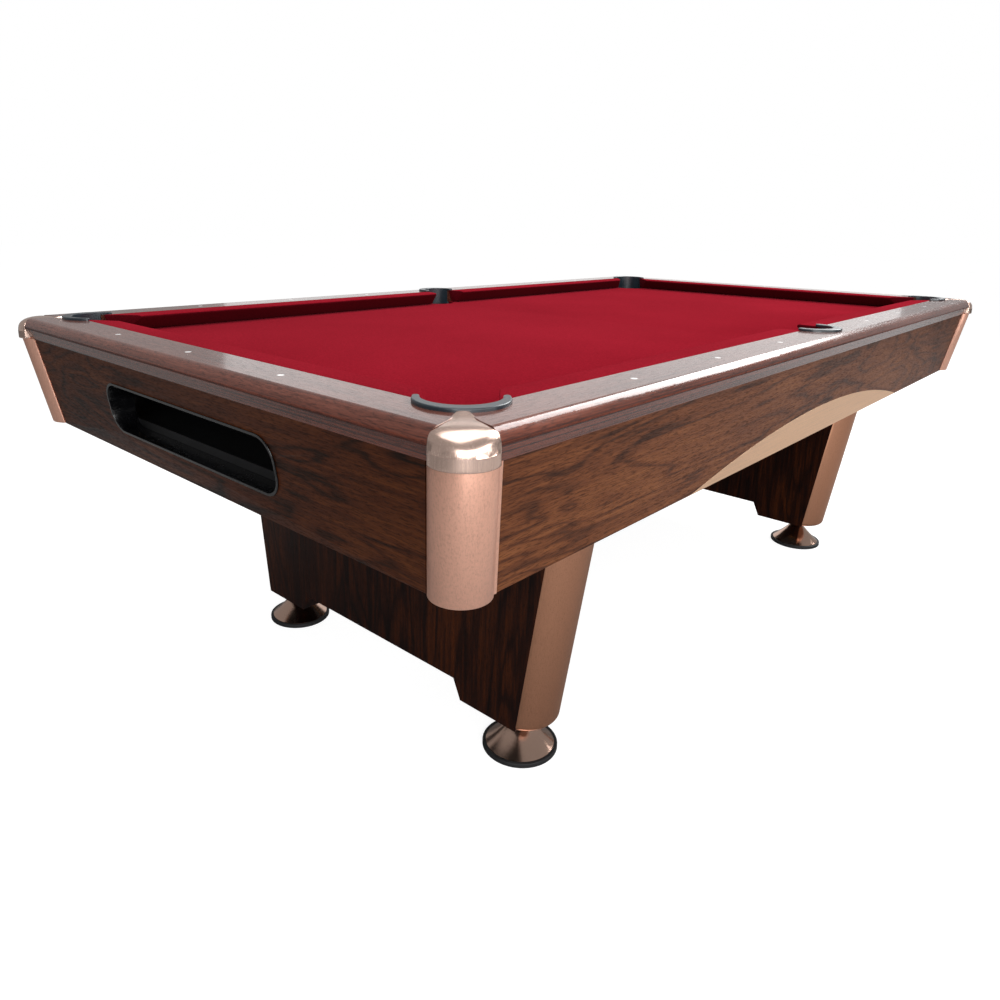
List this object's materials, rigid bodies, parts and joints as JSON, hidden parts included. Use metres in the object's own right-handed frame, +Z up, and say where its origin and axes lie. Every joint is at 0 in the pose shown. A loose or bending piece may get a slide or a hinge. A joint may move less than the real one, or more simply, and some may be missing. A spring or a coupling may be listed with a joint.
{
  "type": "pool table",
  "caption": "Six-pocket slate pool table with cloth cushions, metal corner caps, ball-return window, two pedestal legs and screw-adjusted levelling feet.",
  "frame": {"origin": "on the floor under the middle of the table", "axes": "+X along the table's length away from the ball window, +Y across to the left-hand long side, +Z up"},
  "size_m": [2.5428, 1.4228, 0.8295],
  "materials": {
    "black_rubber": "matte moulded rubber",
    "copper_polished": "polished copper plate",
    "steel_zinc": "zinc plated",
    "walnut_dark": "dark walnut veneer, upright grain, satin",
    "copper_brushed": "brushed rose copper laminate",
    "champagne_metal": "brushed champagne casting, lacquered",
    "walnut_laminate": "walnut laminate with cathedral grain, satin",
    "walnut_rail": "walnut rail laminate, satin lacquer",
    "pearl_sight": "pearl white inlay",
    "red_cloth": "crimson worsted cloth",
    "gum_rubber": "moulded cushion gum rubber",
    "pine_beam": "plain softwood",
    "slate_stone": "honed slate stone",
    "pocket_plastic": "moulded pocket liner",
    "black_gloss": "gloss black moulding",
    "black_sheet": "black painted sheet"
  },
  "bodies": {
    "root": {"arch_panel_left": "copper_brushed", "arch_panel_right": "copper_brushed", "ball_runways": "black_sheet", "ball_tray": "black_sheet", "ball_window_frame": "black_gloss", "bed_cloth": "red_cloth", "corner_casting_far_left": "champagne_metal", "corner_casting_far_right": "champagne_metal", "corner_casting_near_left": "champagne_metal", "corner_casting_near_right": "champagne_metal", "corner_pillar_far_left": "copper_brushed", "corner_pillar_far_right": "copper_brushed", "corner_pillar_near_left": "copper_brushed", "corner_pillar_near_right": "copper_brushed", "cushion_cloths": "red_cloth", "cushion_rubbers": "gum_rubber", "end_apron_far": "walnut_laminate", "end_apron_near": "walnut_laminate", "end_rail_far": "walnut_rail", "end_rail_near": "walnut_rail", "foot_thread_inserts": "steel_zinc", "leg_bolts": "steel_zinc", "leg_cover_far_left": "copper_brushed", "leg_cover_far_right": "copper_brushed", "leg_cover_near_left": "copper_brushed", "leg_cover_near_right": "copper_brushed", "leg_post_far_left": "walnut_dark", "leg_post_far_right": "walnut_dark", "leg_post_near_left": "walnut_dark", "leg_post_near_right": "walnut_dark", "pedestal_panel_far": "walnut_dark", "pedestal_panel_near": "walnut_dark", "pocket_liner_far_left": "pocket_plastic", "pocket_liner_far_right": "pocket_plastic", "pocket_liner_near_left": "pocket_plastic", "pocket_liner_near_right": "pocket_plastic", "pocket_liner_side_left": "pocket_plastic", "pocket_liner_side_right": "pocket_plastic", "rail_bolts": "steel_zinc", "rail_sights": "pearl_sight", "side_apron_left": "walnut_laminate", "side_apron_right": "walnut_laminate", "side_rail_left": "walnut_rail", "side_rail_right": "walnut_rail", "slate_far": "slate_stone", "slate_middle": "slate_stone", "slate_near": "slate_stone", "slate_support_beams": "pine_beam"},
    "foot_far_left": {"foot_cone_far_left": "copper_polished", "foot_pad_far_left": "black_rubber"},
    "foot_far_right": {"foot_cone_far_right": "copper_polished", "foot_pad_far_right": "black_rubber"},
    "foot_near_left": {"foot_cone_near_left": "copper_polished", "foot_pad_near_left": "black_rubber"},
    "foot_near_right": {"foot_cone_near_right": "copper_polished", "foot_pad_near_right": "black_rubber"},
    "stem_far_left": {"foot_stem_far_left": "steel_zinc"},
    "stem_far_right": {"foot_stem_far_right": "steel_zinc"},
    "stem_near_left": {"foot_stem_near_left": "steel_zinc"},
    "stem_near_right": {"foot_stem_near_right": "steel_zinc"}
  },
  "joints": [
    {"name": "level_near_right", "type": "slide", "parent": "root", "child": "stem_near_right", "axis": [0, 0, -1], "range_m": [0, 0.024]},
    {"name": "turn_near_right", "type": "hinge", "parent": "stem_near_right", "child": "foot_near_right", "pos_m": [-0.7475, -0.388, 0.05], "axis": [0, 0, -1], "range_deg": [0, 4320]},
    {"name": "level_near_left", "type": "slide", "parent": "root", "child": "stem_near_left", "axis": [0, 0, -1], "range_m": [0, 0.024]},
    {"name": "turn_near_left", "type": "hinge", "parent": "stem_near_left", "child": "foot_near_left", "pos_m": [-0.7475, 0.388, 0.05], "axis": [0, 0, -1], "range_deg": [0, 4320]},
    {"name": "level_far_right", "type": "slide", "parent": "root", "child": "stem_far_right", "axis": [0, 0, -1], "range_m": [0, 0.024]},
    {"name": "turn_far_right", "type": "hinge", "parent": "stem_far_right", "child": "foot_far_right", "pos_m": [0.7475, -0.388, 0.05], "axis": [0, 0, -1], "range_deg": [0, 4320]},
    {"name": "level_far_left", "type": "slide", "parent": "root", "child": "stem_far_left", "axis": [0, 0, -1], "range_m": [0, 0.024]},
    {"name": "turn_far_left", "type": "hinge", "parent": "stem_far_left", "child": "foot_far_left", "pos_m": [0.7475, 0.388, 0.05], "axis": [0, 0, -1], "range_deg": [0, 4320]}
  ],
  "couplings": [
    {"joint": "level_near_right", "follows": "turn_near_right", "m_per_rad": 0.000318},
    {"joint": "level_near_left", "follows": "turn_near_left", "m_per_rad": 0.000318},
    {"joint": "level_far_right", "follows": "turn_far_right", "m_per_rad": 0.000318},
    {"joint": "level_far_left", "follows": "turn_far_left", "m_per_rad": 0.000318}
  ]
}
